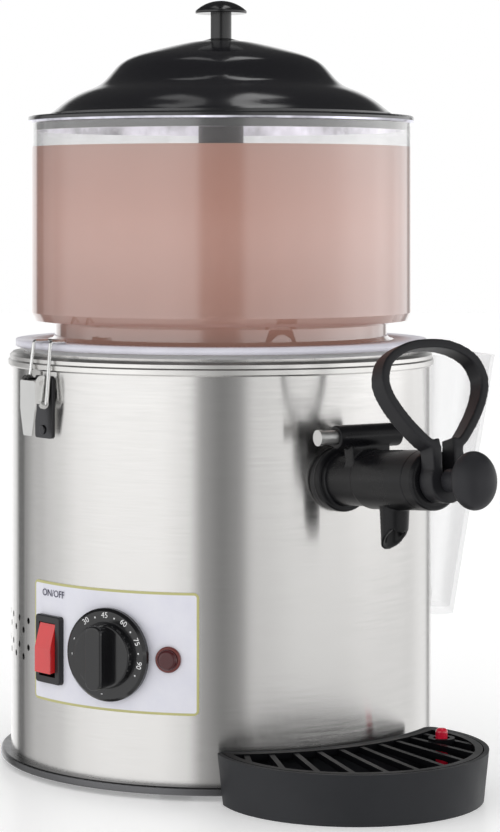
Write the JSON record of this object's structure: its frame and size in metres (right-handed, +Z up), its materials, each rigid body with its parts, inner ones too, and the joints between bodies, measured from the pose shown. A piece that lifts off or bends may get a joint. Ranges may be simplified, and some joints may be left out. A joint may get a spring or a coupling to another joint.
{
  "type": "hot chocolate dispenser",
  "caption": "Heated drink dispenser: clear bowl clamped on a steel water-bath body, stirrer, lever tap, dial panel and removable drip tray.",
  "frame": {"origin": "on the body's axis, at the level of the surface that its feet stand on", "axes": "+Z up along the body's axis, -Y towards the tap and drip tray, +X to the right seen from the tap"},
  "size_m": [0.3133, 0.4186, 0.4678],
  "materials": {
    "steel": "brushed round the body",
    "steel_inner": "satin deep-drawn steel",
    "zinc": "bright plated",
    "clear": "clear moulded polycarbonate",
    "black_gloss": "glossy black moulding",
    "black_satin": "satin black moulding",
    "black_tray": "satin dark grey moulding",
    "rubber": "matt rubber",
    "silicone": "translucent silicone",
    "panel": "printed pale plate",
    "red_clear": "translucent red moulding",
    "red_dark": "dark red lens, unlit",
    "red": "glossy red moulding",
    "spring_steel": "drawn wire",
    "copper": "sheathed heater tube",
    "motor_zinc": "zinc casting",
    "brass": "turned",
    "white_plastic": "moulded"
  },
  "bodies": {
    "root": {"base_plate": "steel", "feet": "rubber", "foot_screws": "zinc", "body_shell": "steel", "top_ring": "steel", "inner_pot": "steel_inner", "water_tank": "steel_inner", "heating_element": "copper", "level_probe": "brass", "safety_cutout": "black_satin", "bowl_gasket": "silicone", "bowl": "clear", "shaft_bush": "white_plastic", "gearbox": "motor_zinc", "motor": "black_satin", "motor_bracket": "zinc", "bracket_screws": "zinc", "water_funnel": "clear", "filler_pipe": "silicone", "filler_grommet": "rubber", "tap_gasket": "rubber", "tap_lug": "steel", "tap_body": "black_satin", "tap_cap": "black_satin", "tap_spring": "spring_steel", "control_plate": "panel", "switch_frame": "black_satin", "thermostat_body": "white_plastic", "thermostat_probe": "copper", "lamp_bezel": "black_satin", "lamp_lens": "red_dark", "cable_gland": "black_satin", "gland_nut": "black_satin", "terminal_block": "white_plastic", "latch_rivets": "zinc", "latch_pins": "zinc", "latch_plate_left": "zinc", "latch_plate_right": "zinc"},
    "lid": {"lid": "black_gloss", "lid_knob": "black_gloss", "lid_knob_screw": "zinc"},
    "stirrer": {"drive_shaft": "steel_inner", "stirrer": "black_satin"},
    "tap_handle": {"tap_handle": "black_satin"},
    "tap_piston": {"tap_piston": "white_plastic", "tap_orings": "rubber", "tap_knob": "black_satin"},
    "tap_lock_pin": {"tap_lock_pin": "zinc"},
    "rocker": {"rocker": "red_clear"},
    "dial": {"thermostat_knob": "black_satin", "thermostat_stem": "brass"},
    "drip_tray": {"drip_tray": "black_tray"},
    "drip_grid": {"drip_grid": "black_gloss"},
    "drip_float": {"drip_float": "red"},
    "latch_lever_left": {"latch_lever_left": "zinc"},
    "latch_bail_left": {"latch_bail_left": "zinc"},
    "latch_lever_right": {"latch_lever_right": "zinc"},
    "latch_bail_right": {"latch_bail_right": "zinc"}
  },
  "joints": [
    {"name": "lid_lift", "type": "slide", "parent": "root", "child": "lid", "axis": [0, 0, 1], "range_m": [0, 0.12]},
    {"name": "stirrer_spin", "type": "hinge", "parent": "root", "child": "stirrer", "pos_m": [0, 0, 0.2], "axis": [0, 0, 1], "continuous": true},
    {"name": "tap_pull", "type": "hinge", "parent": "root", "child": "tap_handle", "pos_m": [0, -0.22956, 0.1788], "axis": [1, 0, 0], "range_deg": [0, 30], "stiffness_Nm_per_rad": 1.2, "springref_deg": -17.19},
    {"name": "piston_slide", "type": "slide", "parent": "root", "child": "tap_piston", "axis": [0, -0.9969, 0.0785], "range_m": [0, 0.012], "deforming": ["tap_spring"]},
    {"name": "lock_pin_pull", "type": "slide", "parent": "root", "child": "tap_lock_pin", "axis": [-1, 0, 0], "range_m": [0, 0.027]},
    {"name": "switch_rock", "type": "hinge", "parent": "root", "child": "rocker", "pos_m": [-0.12675, -0.01855, 0.079], "axis": [0.1448, -0.9895, 0], "range_deg": [0, 16]},
    {"name": "dial_turn", "type": "hinge", "parent": "root", "child": "dial", "pos_m": [-0.12245, -0.06787, 0.081], "axis": [-0.8746, -0.4848, 0], "range_deg": [-250, 20]},
    {"name": "tray_slide", "type": "slide", "parent": "root", "child": "drip_tray", "axis": [0, -1, 0], "range_m": [0, 0.12]},
    {"name": "grid_lift", "type": "slide", "parent": "drip_tray", "child": "drip_grid", "axis": [0, 0, 1], "range_m": [0, 0.06]},
    {"name": "float_rise", "type": "slide", "parent": "drip_tray", "child": "drip_float", "axis": [0, 0, 1], "range_m": [0, 0.008]},
    {"name": "latch_open_left", "type": "hinge", "parent": "root", "child": "latch_lever_left", "pos_m": [-0.13648, -0.01194, 0.236], "axis": [-0.0872, 0.9962, 0], "range_deg": [0, 110]},
    {"name": "bail_swing_left", "type": "hinge", "parent": "latch_lever_left", "child": "latch_bail_left", "pos_m": [-0.13498, -0.01181, 0.224], "axis": [-0.0872, 0.9962, 0], "range_deg": [-137.5, 0]},
    {"name": "latch_open_right", "type": "hinge", "parent": "root", "child": "latch_lever_right", "pos_m": [0.13169, 0.03776, 0.236], "axis": [0.2756, -0.9613, 0], "range_deg": [0, 110]},
    {"name": "bail_swing_right", "type": "hinge", "parent": "latch_lever_right", "child": "latch_bail_right", "pos_m": [0.13025, 0.03735, 0.224], "axis": [0.2756, -0.9613, 0], "range_deg": [-137.5, 0]}
  ],
  "couplings": [
    {"joint": "piston_slide", "follows": "tap_pull", "m_per_rad": 0.0224},
    {"joint": "bail_swing_left", "follows": "latch_open_left", "ratio": -1.25},
    {"joint": "bail_swing_right", "follows": "latch_open_right", "ratio": -1.25}
  ]
}
